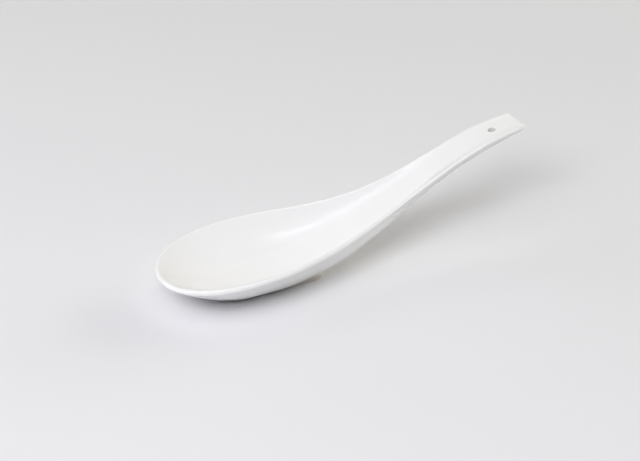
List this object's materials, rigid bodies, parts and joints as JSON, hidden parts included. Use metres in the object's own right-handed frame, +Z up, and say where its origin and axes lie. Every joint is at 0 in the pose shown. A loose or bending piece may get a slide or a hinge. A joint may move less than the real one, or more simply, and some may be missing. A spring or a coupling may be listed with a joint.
{
  "type": "soup spoon",
  "caption": "White glazed porcelain soup spoon: an egg-shaped bowl on a flat foot, with a shallow channelled handle that sweeps up to a hanging hole.",
  "frame": {"origin": "middle of the bare foot, on the surface that the spoon rests on", "axes": "+X along the spoon to the end of the handle, +Z up out of the bowl, and the spoon is the same on both sides of Y = 0"},
  "size_m": [0.137, 0.0436, 0.0402],
  "materials": {
    "bare_porcelain": "matt, unglazed, ground flat",
    "white_glaze": "glossy clear glaze over white porcelain"
  },
  "bodies": {
    "root": {"porcelain_body": "bare_porcelain", "glaze_coat": "white_glaze"}
  },
  "joints": []
}
